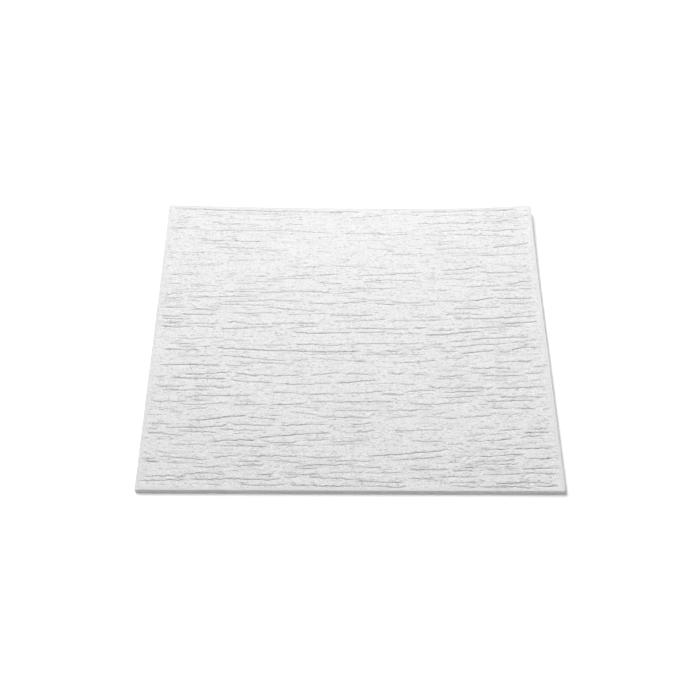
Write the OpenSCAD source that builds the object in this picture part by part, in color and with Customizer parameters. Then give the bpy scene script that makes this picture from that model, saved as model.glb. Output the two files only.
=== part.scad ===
// Square ceiling tile, moulded in one piece from white expanded polystyrene.
// Its face carries long wandering furrows, like bark, which stop at a plain border.
// Two corners of this tile have curled up.
//
// Frame: the flat back lies on z = 0 with the middle of the square above the origin.
// +Z comes out of the furrowed face, the furrows run along X,
// and the two curled corners are at the far edge, at +Y.

/* [Tile] */
// Side of the square
tile_size = 500; // [300:10:600]
// Thickness of the foam between two furrows
thickness = 6; // [4:0.5:12]
// Radius of the four corners, seen from above
corner_r = 3.5; // [2:0.5:10]
// Radius of the rounding between the face and the sides
face_round = 1; // [0.4:0.2:1.6]

/* [Furrows] */
// Plain border that no furrow enters
border = 5; // [3:1:15]
// Width of a furrow of full depth, at the face
furrow_width = 2; // [1.6:0.2:4]
// Depth of a furrow of full depth
furrow_depth = 1.2; // [0.6:0.1:2]
// How far a furrow strays from its line
wander = 0.8; // [0:0.2:3]
// Length of the run-out at each end of a furrow
run_out = 5; // [3:1:10]

/* [Curled corners] */
// Rise of the far left corner
left_rise = 4.4; // [1:0.2:12]
// Length of far edge that curls at the left corner
left_reach = 240; // [100:10:240]
// Rise of the far right corner
right_rise = 6.4; // [1:0.2:12]
// Length of far edge that curls at the right corner
right_reach = 150; // [60:10:240]

/* [Hidden] */

// Half of the square
half = tile_size / 2;
// The furrows are laid out on a tile of this size, and stretched to the border of any other
layout_size = 500;
layout_border = 5;
// Distance between two sections of a furrow
section_step = 20;
// How far a cutter reaches past the surface that it opens
overshoot = 0.6;
rim_overshoot = 0.3;
// Depth that is left where a furrow runs out
run_out_depth = 0.06;
// Steps in each rounded form
corner_steps = 4;
curl_steps = 8;
// Spacing of the sections along a straight side
side_step = 45;
// The foam lifts slowly at the fold and faster near the corner
curl_power = 1.5;
// Width of the flat strip by which a curled corner laps the flat part
fold_lap = 5;

// Furrows from the far edge to the near one, each as [left end, right end, bow, sway, strength].
// An end is [distance from the left edge, distance from the far edge].
// The bow is how far the middle of the furrow hangs towards the near edge. The sway is how far
// its first half hangs that way while its second half rises as much, as in a lying S.
// A strength of 1 is a furrow of full depth.
FURROWS = [
    [[5, 7.5], [268, 9], 1, 0, 0.8],
    [[332, 9], [481, 7.5], -0.7, 0, 0.8],
    [[92, 17], [176, 17], -0.5, 0, 0.5],
    [[48, 20], [79, 19], 0, 0, 0.5],
    [[250, 22], [347, 17], -4.5, 1.5, 0.6],
    [[350, 18], [490, 25], -5, 0, 0.6],
    [[12, 26], [45, 24], 0, 0, 0.5],
    [[116, 28], [160, 26], 0, 0, 0.6],
    [[342, 33], [427, 32], 0, 0, 0.7],
    [[430, 31], [484, 31], -2, 0, 0.6],
    [[58, 32], [130, 39], 1.5, 1.5, 0.7],
    [[160, 36], [184, 36], -1, 0, 0.5],
    [[5, 45], [228, 54], 0, 2.5, 0.7],
    [[78, 46], [136, 45], -0.5, 0, 0.5],
    [[367, 49], [424, 44], 0, 0.5, 0.7],
    [[426, 46], [492, 44.5], 2.5, 0, 0.9],
    [[236, 54], [332, 55], 0, -1, 0.7],
    [[347, 56], [386, 57], 0.5, 0, 0.7],
    [[386, 54.5], [474, 60], -1, 0, 0.8],
    [[45, 70], [139, 71], 0, 0, 0.7],
    [[155, 72], [175, 73], 0, 0, 0.6],
    [[245, 68], [323, 65], 1, 0, 0.5],
    [[364, 71], [405, 70], -1, 0, 0.6],
    [[42, 77], [92, 76], 0, 0, 0.6],
    [[344, 77], [394, 74], -0.5, 0, 0.5],
    [[440, 80.5], [492, 74], 0.5, 1.3, 0.9],
    [[362, 86], [434, 82], -1, 0, 0.6],
    [[72, 84], [168, 88], 0, -1.5, 0.7],
    [[272, 83], [312, 87], 0, 0.5, 0.6],
    [[98, 92.5], [146, 91], 0, 0, 0.5],
    [[203, 90], [223, 92], 0, 0, 0.6],
    [[5, 95], [79, 94], 0, 0, 0.5],
    [[311, 96], [368, 95], -1, 0, 0.5],
    [[370, 92.5], [443, 92], 0, 0, 0.5],
    [[383, 98.5], [411, 97], 0, 0, 0.6],
    [[414, 96], [492, 92.5], 1, 0, 0.8],
    [[5, 105], [20, 105], 0, 0, 0.7],
    [[84, 110], [128, 107.5], -0.5, 0, 0.6],
    [[130, 108], [168, 107], -0.5, 0.7, 0.5],
    [[234, 107], [252, 109], -1, 0, 0.7],
    [[374, 110], [391, 110], 0, 0, 0.6],
    [[28, 119], [81, 118], 0, -0.5, 0.6],
    [[167, 121], [216, 120.5], 0, 0.5, 0.6],
    [[228, 119], [272, 119], 0, 0, 0.7],
    [[271, 121], [301, 124], 0, 0, 0.7],
    [[442, 115], [492, 118], 0.5, -1, 0.6],
    [[368, 126], [434, 116], 2, 1, 0.8],
    [[420, 129], [492, 128], 1.3, 0, 0.9],
    [[366, 135], [420, 130], 0.5, 0.5, 0.7],
    [[255, 138], [349, 131], 0, 0, 0.8],
    [[5, 137], [57, 137], 0, 0, 0.6],
    [[84, 136], [104, 136], 0, 0, 0.6],
    [[203, 138], [240, 135], -0.5, 0, 0.8],
    [[110, 138], [143, 140], -0.5, 0, 0.7],
    [[150, 140], [201, 137], 0, 0.7, 0.7],
    [[438, 138], [470, 137], 0, 0, 0.6],
    [[138, 145.5], [204, 143], -0.7, 0, 0.7],
    [[362, 144], [412, 143], -0.5, 0, 0.7],
    [[266, 150], [346, 148], -3.5, 0, 0.7],
    [[124, 149], [160, 149], 0, 0, 0.7],
    [[210, 152.5], [241, 152], 0, 0, 0.8],
    [[452, 154], [492, 144], -0.5, 0, 0.9],
    [[461, 155], [491, 154.5], 0, 0, 0.8],
    [[400, 159], [450, 155], -1.5, -0.5, 0.9],
    [[5, 154], [31, 154], 0, 0, 0.7],
    [[96, 153], [127, 153], 0, 0, 0.7],
    [[38, 155], [84, 159], 0.5, 0.7, 0.7],
    [[248, 161.5], [313, 161], 0, 0, 0.8],
    [[434, 163.5], [471, 164], 0, 0, 1],
    [[471, 161], [492, 160], 0, 0, 0.9],
    [[350, 165], [388, 164], 0, 0, 0.5],
    [[260, 166.5], [288, 167], 0, 0, 0.6],
    [[102, 165], [144, 164], -1, 0, 0.8],
    [[15, 166], [57, 164], 0, 0, 0.5],
    [[20, 170], [78, 168.5], 0, 0, 0.6],
    [[84, 168.5], [130, 168], 0, 0, 0.7],
    [[130, 169.5], [226, 171.5], -3, 1.5, 0.9],
    [[226, 173], [262, 168], -0.5, 0, 0.8],
    [[5, 174.5], [34, 173], 0, 0, 0.7],
    [[186, 172.5], [213, 177.5], 1.5, 0, 0.6],
    [[34, 178.5], [134, 177], 0.5, 0.5, 0.8],
    [[5, 182], [34, 180], 0, 0, 0.7],
    [[440, 180], [492, 178], 0, 0, 0.9],
    [[401, 185.5], [440, 177.5], 0, 0, 0.9],
    [[248, 180], [302, 185.5], 0, -0.7, 0.7],
    [[352, 185.5], [398, 186.5], -0.5, -0.5, 0.7],
    [[5, 187], [36, 184], 0, 0, 0.6],
    [[38, 184], [58, 188.5], -0.5, 0, 0.8],
    [[302, 187], [346, 187.5], 1, 0, 0.8],
    [[84, 187.5], [190, 187], -2.5, 1, 0.8],
    [[198, 190], [236, 190], 0, 0, 0.9],
    [[238, 189], [272, 187], 0, 1, 1],
    [[444, 189.5], [492, 187], -0.5, 0, 0.8],
    [[278, 188], [312, 192], 0.7, 0, 0.9],
    [[70, 191], [153, 193], 1, 0, 0.7],
    [[326, 193], [360, 192.5], 0, 0, 0.8],
    [[382, 199], [446, 195], 0.5, 0, 0.8],
    [[56, 196], [106, 199.5], 0, 0, 0.6],
    [[8, 199.5], [42, 198], -0.5, 0, 0.9],
    [[44, 201.5], [83, 203], 0, 0, 1],
    [[108, 201.5], [134, 202], 0, 0, 0.6],
    [[136, 198], [207, 204], 0, 0, 0.8],
    [[456, 208.5], [480, 204.5], 0, 0, 0.7],
    [[371, 210.5], [422, 210], -2.5, 0, 0.8],
    [[94, 209], [162, 208.5], -0.5, 0, 0.7],
    [[168, 210.5], [220, 208.5], 0.5, 0, 0.7],
    [[222, 210], [282, 211], 1.5, 0, 0.9],
    [[5, 214], [33, 214], 0, 0, 1],
    [[33, 211], [77, 211.5], -0.5, 0, 1],
    [[328, 215], [369, 214.5], -0.5, 0, 0.8],
    [[382, 217.5], [492, 212], 0.5, 0.5, 0.9],
    [[7, 218.5], [46, 220], 0.5, 0, 0.7],
    [[298, 221.5], [380, 219], 0.5, 0, 0.7],
    [[228, 222.5], [298, 219], 1, 0, 0.7],
    [[442, 226], [492, 221.5], 0, 0, 1],
    [[88, 224.5], [146, 229], 0, -0.7, 0.8],
    [[6, 227.5], [36, 226], 0, 0, 0.8],
    [[40, 228], [86, 228.5], -0.5, 0, 0.8],
    [[148, 228.5], [215, 228], -2, 0, 0.8],
    [[7, 232.5], [49, 233], 0.5, 0, 1],
    [[52, 233], [82, 234], -0.5, 0, 0.9],
    [[386, 236], [472, 229.5], 0, 0, 0.9],
    [[168, 237], [212, 231], 0, 0, 0.8],
    [[83, 237.5], [132, 234.5], 0, 0, 0.9],
    [[132, 235.5], [164, 232], 0, 0, 0.6],
    [[244, 235.5], [328, 235.5], 0, -0.5, 0.8],
    [[330, 235.5], [347, 235], 0, 0, 0.9],
    [[350, 238], [384, 238], 0, 0, 0.9],
    [[422, 238.5], [458, 237], 0, 0, 0.6],
    [[345, 246], [420, 240.5], 0.5, 1, 1],
    [[256, 242.5], [298, 241.5], 0, 0, 0.9],
    [[12, 238], [32, 243], 0, 0, 0.6],
    [[174, 241.5], [253, 243], 2, 0.5, 0.9],
    [[424, 243], [447, 243], 0, 0, 0.7],
    [[298, 244.5], [343, 244], 0, 0, 0.7],
    [[402, 254.5], [478, 249.5], -1, 0, 1],
    [[31, 255], [86, 252.5], 0.5, 0, 0.7],
    [[88, 256], [124, 258], 0, 0, 0.6],
    [[374, 260.5], [400, 257], -1.5, 0, 0.9],
    [[452, 260], [490, 253], 0, 0, 0.8],
    [[70, 263], [90, 259], -1, 0, 0.7],
    [[376, 268.5], [452, 261], -0.7, 0, 0.9],
    [[20, 264], [58, 266], -2.5, 0, 0.9],
    [[348, 263.5], [372, 262], 0, 0, 0.7],
    [[246, 263.5], [344, 261], 0.3, -0.5, 0.8],
    [[132, 265], [176, 266.5], 1, 0, 0.6],
    [[178, 265], [244, 264], 0.5, -1.2, 0.8],
    [[30, 268], [78, 269], 0, 0, 0.7],
    [[350, 267], [374, 269.5], 1, 0, 0.7],
    [[452, 272], [492, 266.5], -1, 0, 0.9],
    [[80, 271], [262, 276.5], 2, 0, 1.1],
    [[14, 273.5], [62, 275], -0.5, 0, 1],
    [[322, 273.5], [352, 271], 0, 0, 0.7],
    [[388, 279], [434, 272], 1, 0, 1],
    [[436, 276], [456, 274.5], 0, 0, 0.9],
    [[360, 275], [386, 276], 0, 0, 1],
    [[264, 278], [292, 278.5], 0, 0, 0.7],
    [[293, 276], [315, 275.5], 0, 0, 0.9],
    [[202, 281.5], [258, 281.5], 0, 0, 0.5],
    [[262, 282], [346, 281.5], -0.5, 0, 0.6],
    [[430, 282], [491, 280.5], 0, 0, 0.5],
    [[32, 285.5], [84, 284.5], 0, 0, 0.7],
    [[88, 285], [172, 293.5], -1, -0.7, 0.9],
    [[362, 290], [396, 286.5], 0, 0, 0.7],
    [[174, 293], [200, 292], -1, 0, 0.7],
    [[206, 289], [274, 295], -0.5, 0, 0.6],
    [[308, 295.5], [360, 291], 1, 0, 0.7],
    [[430, 294.5], [480, 291], 0, 0, 0.8],
    [[108, 298], [182, 300], -2, 0.5, 0.8],
    [[12, 300.5], [90, 301], -0.5, 0, 1],
    [[92, 301.5], [125, 302], 0, 0, 0.9],
    [[476, 301], [492, 299], 1.5, 0, 0.9],
    [[372, 301], [396, 303.5], -0.5, 0, 0.8],
    [[398, 305], [450, 306], -1.5, 0.5, 0.9],
    [[360, 309.5], [388, 308], -0.3, 0, 0.6],
    [[430, 311], [462, 310.5], 0, 0, 0.8],
    [[464, 313.5], [492, 311.5], 0, 0, 0.9],
    [[40, 315], [103, 312], 2, 0.7, 1],
    [[104, 313], [138, 319], 1, 0, 1],
    [[140, 317.5], [190, 318], 0.7, 0.7, 0.9],
    [[178, 310.5], [198, 315], 0, 0, 0.8],
    [[200, 317.5], [240, 312], 0, 0, 0.9],
    [[241, 314], [277, 316], 0, 0.7, 1],
    [[295, 315.5], [319, 313.5], 0, 0, 0.9],
    [[324, 316], [352, 317], -1.5, 0, 0.8],
    [[360, 318], [395, 316], 1, 0, 0.9],
    [[397, 313.5], [424, 313.5], -0.5, 0, 0.8],
    [[410, 317.5], [468, 316.5], 0, 0, 1],
    [[5, 321], [24, 321], 0, 0, 0.9],
    [[26, 322.5], [98, 324], -0.5, 0, 1],
    [[100, 325], [156, 331], 1, 1.2, 1],
    [[355, 323], [402, 321.5], 0, 0, 0.6],
    [[414, 325], [446, 325], 0, 0, 0.7],
    [[452, 327], [490, 325.5], 0, 0.5, 0.7],
    [[230, 331], [283, 325.5], -0.5, 0, 1],
    [[158, 331.5], [228, 331.5], 1, 0.7, 0.8],
    [[284, 331], [334, 333], -0.5, 0, 0.6],
    [[8, 334], [50, 335.5], 3, 0, 0.9],
    [[56, 338.5], [107, 336.5], 0.7, -1, 0.9],
    [[346, 336.5], [428, 336.5], 1.7, 0, 0.9],
    [[430, 338.5], [492, 335], 0, 0, 1],
    [[316, 347], [358, 343.5], -3, 0, 0.8],
    [[20, 342.5], [76, 342], 1, 0, 0.9],
    [[362, 346.5], [412, 342], 0, -0.7, 0.9],
    [[152, 347], [182, 347.5], -1.5, 0, 1],
    [[184, 348.5], [238, 348], 0.5, 0.5, 0.8],
    [[240, 347.5], [292, 343.5], 1.5, 0, 0.8],
    [[284, 350], [318, 350.5], -2, 0, 0.9],
    [[47, 354], [130, 351.5], -1, -1.5, 0.9],
    [[360, 353.5], [430, 349], 1, 0.7, 0.8],
    [[431, 353], [488, 353.5], -0.7, 0.7, 0.9],
    [[412, 360], [475, 357.5], 0, 0, 0.9],
    [[56, 359.5], [84, 360], 0, 0, 0.8],
    [[5, 361], [53, 362], 0, 0, 0.9],
    [[110, 361.5], [134, 361], -0.5, 0, 0.8],
    [[200, 362], [305, 361], 0, 0, 0.9],
    [[320, 363], [398, 362], 2, 1, 0.9],
    [[38, 366], [104, 363], 1.5, 0, 0.8],
    [[106, 367.5], [148, 367], -1.5, 0, 0.9],
    [[150, 367], [198, 365.5], -0.5, 1, 0.9],
    [[180, 369], [218, 371], 0.7, 0, 0.7],
    [[448, 370.5], [476, 371], 1, 0, 0.9],
    [[420, 372], [446, 371.5], -1.5, 0, 0.8],
    [[50, 376], [78, 371.5], -1, 0, 0.9],
    [[292, 376.5], [346, 373], 0, 0, 0.8],
    [[228, 376], [288, 375.5], 0, 0, 0.8],
    [[28, 379.5], [50, 378], 0.5, 0, 0.7],
    [[351, 379], [369, 378.5], 0, 0, 0.8],
    [[418, 380], [456, 380.5], 0, 0, 0.6],
    [[174, 379.5], [212, 383], -0.5, -1, 0.7],
    [[144, 383], [168, 384.5], 0, 0, 0.7],
    [[384, 386], [424, 382.5], 1, 0.5, 0.9],
    [[292, 388.5], [334, 383], 0, 0, 0.8],
    [[210, 385.5], [278, 386.5], 1, 0, 0.9],
    [[336, 384], [360, 387.5], 0, 0, 0.8],
    [[126, 387], [163, 391.5], 0, 0, 0.8],
    [[52, 391.5], [126, 384.5], 1, 1.7, 1],
    [[362, 389], [382, 386.5], 1, 0, 0.9],
    [[250, 398], [278, 396.5], -0.7, 0, 0.8],
    [[6, 399], [37, 399], -0.5, 0, 0.9],
    [[106, 398.5], [160, 401.5], -0.5, 0.5, 1],
    [[26, 404.5], [104, 400], 1, -0.5, 1],
    [[164, 401.5], [224, 399], -2, 0, 0.9],
    [[400, 404], [426, 403.5], -0.5, 0, 0.9],
    [[428, 408], [460, 405.5], -1, 0, 0.9],
    [[464, 404.5], [491, 403.5], 0, 0, 0.9],
    [[302, 408.5], [362, 407.5], -1.5, 0, 0.7],
    [[5, 406], [24, 405.5], 0, 0, 0.8],
    [[94, 407.5], [150, 408.5], -0.5, 0, 0.8],
    [[43, 409.5], [92, 412], -1, 0, 0.9],
    [[457, 411], [492, 409], 0, 0, 1],
    [[252, 411], [282, 408], 0, 0, 0.8],
    [[5, 412], [54, 416.5], 0, -1, 0.9],
    [[390, 414], [436, 412.5], 0, 0.7, 0.6],
    [[138, 420.5], [228, 411.5], -1.7, 0, 1],
    [[454, 417], [482, 415.5], -1, 0, 0.9],
    [[411, 423], [446, 420], -0.3, 0, 0.9],
    [[82, 427], [140, 424], -2.5, 0, 1],
    [[142, 425], [190, 426], 1, 0, 0.9],
    [[192, 424], [222, 423.5], -0.7, 0, 0.9],
    [[224, 425.5], [268, 424], 0, 0, 0.9],
    [[321, 423], [362, 425.5], 0.5, 0, 0.9],
    [[362, 428.5], [388, 428], 0, 0, 0.7],
    [[386, 424.5], [410, 424.5], -1.5, 0, 0.9],
    [[216, 430.5], [268, 428.5], 0, 0, 0.7],
    [[424, 432], [462, 429.5], -1, 0, 0.7],
    [[36, 431], [80, 430.5], 0, 0, 0.7],
    [[158, 430], [210, 432.5], -0.5, 0, 0.8],
    [[92, 432.5], [154, 434], -0.5, 0, 0.9],
    [[404, 437], [438, 436], 0, 0, 0.8],
    [[441, 435.5], [492, 433.5], 0.3, 0, 1],
    [[18, 441], [44, 445], 0.5, 0, 0.8],
    [[86, 451], [122, 446], 0, 0, 1],
    [[124, 447], [190, 448.5], 0.5, 0, 1],
    [[27, 449.5], [84, 453.5], 0, -0.5, 1],
    [[192, 449], [244, 450], 0.7, 0, 0.8],
    [[270, 447.5], [368, 437], 1.2, 0.3, 1],
    [[400, 448], [456, 444], 0, 0, 1],
    [[368, 449.5], [398, 446.5], 0, 0, 0.8],
    [[296, 455], [362, 447], 0, 0, 0.8],
    [[458, 450.5], [492, 449.5], 0, 0, 1],
    [[5, 453], [24, 452], 0, 0, 1],
    [[117, 456], [147, 456.5], 0.3, 0, 0.9],
    [[149, 454.5], [194, 458], 0.3, 0, 0.8],
    [[228, 454.5], [276, 456], 0, 0, 0.9],
    [[364, 457.5], [380, 455.5], 0, 0, 0.9],
    [[398, 455], [446, 453], 0.7, 0, 0.8],
    [[5, 457], [28, 458], -0.3, 0, 1],
    [[30, 458.5], [84, 460.5], -0.5, 0, 0.8],
    [[382, 460.5], [450, 459.5], -0.5, 0, 0.8],
    [[62, 464], [110, 465], 0, 0, 0.9],
    [[113, 464.5], [148, 462.5], -1, 0, 1],
    [[188, 463], [254, 460.5], -0.5, 0, 0.9],
    [[178, 467], [222, 465], 0, 0, 0.6],
    [[246, 465], [288, 465], -0.3, 0, 0.8],
    [[318, 468], [366, 467.5], 0.5, -0.7, 1],
    [[380, 464.5], [404, 465.5], -1.3, 0, 1],
    [[368, 470.5], [402, 469.5], -0.3, 0, 0.9],
    [[406, 466], [428, 466.5], 1, 0, 1],
    [[430, 468], [448, 467], -1.7, 0, 0.9],
    [[450, 467], [492, 466], -2, 0, 1],
    [[266, 473.5], [314, 472.5], 0, 0, 0.7],
    [[58, 475.5], [106, 476.5], -2, 0, 0.9],
    [[140, 477.5], [162, 474.5], 0, 0, 0.9],
    [[171, 475.5], [214, 475.5], 0.3, 0, 0.8],
    [[222, 473.5], [264, 471.5], 0, 0, 0.7],
    [[407, 475], [492, 473.5], -0.7, 0.5, 0.9],
    [[8, 480], [60, 480], -1, 0, 0.8],
    [[352, 480], [402, 478.5], -1, 0, 0.9],
    [[317, 481.5], [350, 481.5], 0, 0, 0.8],
    [[172, 481], [192, 479.5], 0, 0, 0.8],
    [[200, 480], [268, 482.5], 0.5, 0, 0.9],
    [[5, 485.5], [60, 484.5], -0.3, 0, 1],
    [[62, 483.5], [170, 483.5], -0.3, 0, 1],
    [[256, 486], [315, 488], -0.7, 0, 0.9],
    [[352, 488], [400, 487], -0.5, 0, 0.6],
    [[416, 488.5], [486, 488.5], -1.7, 0.7, 0.9],
    [[84, 490.5], [101, 493], 0, 0, 0.8],
    [[120, 491], [176, 491], 0.5, 0, 0.9],
    [[178, 492], [260, 493], 0, 0, 0.9],
    [[262, 493], [318, 494], 0, 0, 0.9],
    [[370, 493.5], [398, 494], -0.4, 0, 0.9],
    [[400, 493.5], [462, 494], -0.5, 0, 1],
    [[464, 493], [492, 491.5], 0, 0, 1],
];

// A number from 0 to 1 that looks random, and is always the same for the same n and salt
function scatter(n, salt) =
    let (t = sin(n * 127.1 + salt * 311.7) * 43758.5453)
    t - floor(t);

// How far the foam is lifted at one corner, where across and down are the distances
// from the two edges that meet there
function corner_lift(across, down, rise, reach) =
    rise * pow(max(0, 1 - (across + down) / reach), curl_power);

// How far the foam is lifted at a point of the tile
function lift(x, y) =
    corner_lift(max(0, half + x), max(0, half - y), left_rise, left_reach)
    + corner_lift(max(0, half - x), max(0, half - y), right_rise, right_reach);

// Height of the face at a point of the tile, between the furrows
function face_z(x, y) = thickness + lift(x, y);

// Points of the square outline with its rounded corners, counter-clockwise,
// moved inwards by inset. The straight sides are cut into steps.
function outline(inset) =
    let (
        arc_centre = half - corner_r,
        side_steps = ceil(2 * arc_centre / side_step)
    )
    [for (side = [0:3], k = [0:corner_steps + side_steps - 1])
        let (
            turn = side * 90 - 90 + 90 * min(1, k / corner_steps),
            along = max(0, k - corner_steps) / side_steps,
            start = corner_centre(side, arc_centre),
            end = corner_centre(side + 1, arc_centre)
        )
        start + (end - start) * along + (corner_r - inset) * [cos(turn), sin(turn)]];

// Centre of the arc at one corner of the square
function corner_centre(side, arc_centre) =
    let (turn = side * 90 - 45)
    arc_centre * [sign(cos(turn)), sign(sin(turn))];

// A solid that passes through rings of points, each ring with as many points as the others
// and running clockwise when seen from the last ring. A closed loft joins its last ring to its first.
module loft(rings, closed = false) {
    n = len(rings[0]);
    count = len(rings);
    spans = closed ? count - 1 : count - 2;
    caps = closed ? [] : [
        [for (k = [0:n - 1]) k],
        [for (k = [n - 1:-1:0]) (count - 1) * n + k]
    ];
    skin = [for (r = [0:spans], k = [0:n - 1], upper = [false, true])
        let (
            a = r * n + k,
            b = r * n + (k + 1) % n,
            c = (r + 1) % count * n + k,
            d = (r + 1) % count * n + (k + 1) % n
        )
        upper ? [a, c, d] : [a, d, b]];
    polyhedron(
        points = [for (ring = rings, point = ring) point],
        faces = concat(caps, skin)
    );
}

// Plan of the tile
module plan() {
    polygon(outline(0));
}

// The part of the plan that lies flat, up to the middle of each curled corner's lap
module flat_plan() {
    left = left_reach + fold_lap / 2;
    right = right_reach + fold_lap / 2;
    difference() {
        plan();
        polygon([[-half, half], [-half, half - left], [left - half, half]]);
        polygon([[half, half], [half, half - right], [half - right, half]]);
    }
}

// A corner that curls up from its fold, built at the far left corner of the tile.
// It starts with a flat lap, so that it is one with the flat part.
module curled_corner(rise, reach) {
    run = reach / sqrt(2);
    under = concat(
        [[-fold_lap, 0]],
        [for (k = [0:curl_steps]) [run * k / curl_steps, rise * pow(k / curl_steps, curl_power)]]
    );
    over = [for (k = [len(under) - 1:-1:0]) under[k] + [0, thickness]];
    translate([-half, half, 0])
        rotate([0, 0, 135])
            translate([-run, 0, 0])
                rotate([90, 0, 0])
                    linear_extrude(height = 2 * (run + fold_lap), center = true)
                        polygon(concat(under, over));
}

// The sheet of foam before its face is furrowed
module sheet() {
    linear_extrude(height = thickness)
        flat_plan();
    intersection() {
        linear_extrude(height = thickness + left_rise + right_rise)
            plan();
        union() {
            curled_corner(left_rise, left_reach);
            mirror([1, 0, 0])
                curled_corner(right_rise, right_reach);
        }
    }
}

// Rounds the rim of the face: a cutter that runs round the outline and follows the curl.
// Its section is two chords of the rounding, drawn on past the face and past the side.
module rim_cutter() {
    rim = outline(0);
    knee = face_round * (1 - sin(45));
    slope = tan(67.5);
    inner = outline(face_round + rim_overshoot * slope);
    middle = outline(knee);
    outer = outline(-rim_overshoot);
    loft([for (i = [0:len(rim) - 1])
        let (top = face_z(rim[i].x, rim[i].y))
        [
            concat(outer[i], top - face_round - rim_overshoot * slope),
            concat(middle[i], top - knee),
            concat(inner[i], top + rim_overshoot),
            concat(outer[i], top + rim_overshoot)
        ]], closed = true);
}

// A point of the furrow layout, moved into the tile's own border and frame
function place(point) =
    let (stretch = (tile_size - 2 * border) / (layout_size - 2 * layout_border))
    [
        border - half + (point.x - layout_border) * stretch,
        half - border - (point.y - layout_border) * stretch
    ];

// Cuts furrow number n: a V that follows a bowed, swaying and wandering line
// and runs out over a short length at both ends
module furrow_cutter(n, furrow) {
    left = place(furrow[0]);
    right = place(furrow[1]);
    length = norm(right - left);
    tail = min(0.3, run_out / length);
    steps = ceil(length * (1 - 2 * tail) / section_step);
    stations = concat(0, [for (k = [0:steps]) tail + (1 - 2 * tail) * k / steps], 1);
    loft([for (t = stations)
        let (
            x = left.x + (right.x - left.x) * t,
            hang = furrow[2] * 4 * t * (1 - t) + furrow[3] * sin(360 * t),
            slow = sin(360 * (x / 71 + scatter(n, 1))),
            quick = sin(360 * (x / 37 + scatter(n, 2))),
            stray = wander * sin(180 * t) * (0.6 * slow + 0.4 * quick),
            y = left.y + (right.y - left.y) * t - hang + stray,
            uneven = 0.88 + 0.12 * sin(360 * (x / 43 + scatter(n, 3))),
            depth = t == 0 || t == 1 ? run_out_depth : furrow_depth * furrow[4] * uneven,
            flank = furrow_width / 2 * (depth + overshoot) / furrow_depth
        )
        [
            [x, y - flank, face_z(x, y) + overshoot],
            [x, y, face_z(x, y) - depth],
            [x, y + flank, face_z(x, y) + overshoot]
        ]]);
}

// The whole tile
module tile() {
    color("whitesmoke")
        difference() {
            sheet();
            rim_cutter();
            for (n = [0:len(FURROWS) - 1])
                furrow_cutter(n, FURROWS[n]);
        }
}

tile();
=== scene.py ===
# %% [markdown]
# # One ceiling tile of moulded foam
# The real tile is a single moulding: tiny beads of polystyrene are blown into a mould, and
# steam welds them into a light white sheet, 500 mm square and 6 mm thick. The mould gives the
# face its long furrows, like bark. The construction file already holds the sheet, its curled
# corners and its furrows as sharp V cuts. This lesson turns that solid into the soft moulded
# thing, so the solid is loaded first, as the frame that everything is measured from.

# %% Load the solid tile
import math

import bpy
import numpy as np
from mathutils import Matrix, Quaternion, Vector
from mathutils.bvhtree import BVHTree
from mathutils.geometry import delaunay_2d_cdt


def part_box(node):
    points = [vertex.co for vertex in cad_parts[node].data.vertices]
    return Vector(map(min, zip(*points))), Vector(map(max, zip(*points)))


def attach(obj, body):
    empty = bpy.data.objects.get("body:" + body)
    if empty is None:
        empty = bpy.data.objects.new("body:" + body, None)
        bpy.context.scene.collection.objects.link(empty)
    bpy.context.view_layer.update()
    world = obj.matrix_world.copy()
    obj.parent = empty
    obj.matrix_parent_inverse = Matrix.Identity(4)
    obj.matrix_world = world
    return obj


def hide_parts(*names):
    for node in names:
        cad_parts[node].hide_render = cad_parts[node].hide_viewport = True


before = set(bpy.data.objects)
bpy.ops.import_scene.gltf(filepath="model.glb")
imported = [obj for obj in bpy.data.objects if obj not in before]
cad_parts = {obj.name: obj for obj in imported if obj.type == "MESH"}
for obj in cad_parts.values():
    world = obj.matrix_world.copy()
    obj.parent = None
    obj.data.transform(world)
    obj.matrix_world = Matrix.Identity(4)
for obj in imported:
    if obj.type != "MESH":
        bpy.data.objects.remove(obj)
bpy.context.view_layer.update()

MM = 0.001
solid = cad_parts["tile"]
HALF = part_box("tile")[1].x
print(f"The solid tile is {2 * HALF / MM:.0f} mm wide and has {len(solid.data.polygons)} triangles.")

# %% [markdown]
# The construction file gives the foam its thickness, rounds the rim of the face, and lifts two
# corners off the floor. Those sizes are repeated here by name, because the fine mesh is made
# by the same rule. A ray dropped on the solid at the near border shows whether they agree.

# %% The sizes that the mould gives the tile
THICKNESS = 6 * MM
CORNER_RADIUS = 3.5 * MM
FACE_ROUND = 1 * MM
BACK_ROUND = 0.4 * MM
LEFT_RISE, LEFT_REACH = 4.4 * MM, 240 * MM
RIGHT_RISE, RIGHT_REACH = 6.4 * MM, 150 * MM
FURROW_DEPTH = 1.2 * MM
CURL_POWER = 1.5
BORDER_MIDDLE = 3 * MM

surface = BVHTree.FromPolygons(
    [v.co for v in solid.data.vertices], [p.vertices for p in solid.data.polygons])
HIGH, DOWN = 50 * MM, Vector((0, 0, -1))


def face_height(x, y):
    """Height of the solid tile's face at one point of its plan."""
    return surface.ray_cast(Vector((x, y, HIGH)), DOWN)[0].z


print(f"At the near border the foam is {face_height(0, BORDER_MIDDLE - HALF) / MM:.2f} mm thick.")

# %% [markdown]
# The photograph looks down on the tile from 46 degrees above the floor, through a long lens
# nearly two metres away. These numbers come from the four corners of the square: only one
# place and one lens make a true square of them.

# %% The camera
PHOTO_WIDTH = 700
FOCAL_PIXELS = 1512.7
SENSOR_WIDTH = 36
CAMERA_AZIMUTH = math.radians(-0.507)
CAMERA_ELEVATION = math.radians(46.024)
CAMERA_ROLL = math.radians(0.606)
CAMERA_DISTANCE = 1.905
AIM = Vector((-0.1 * MM, -23.8 * MM, THICKNESS))

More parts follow.
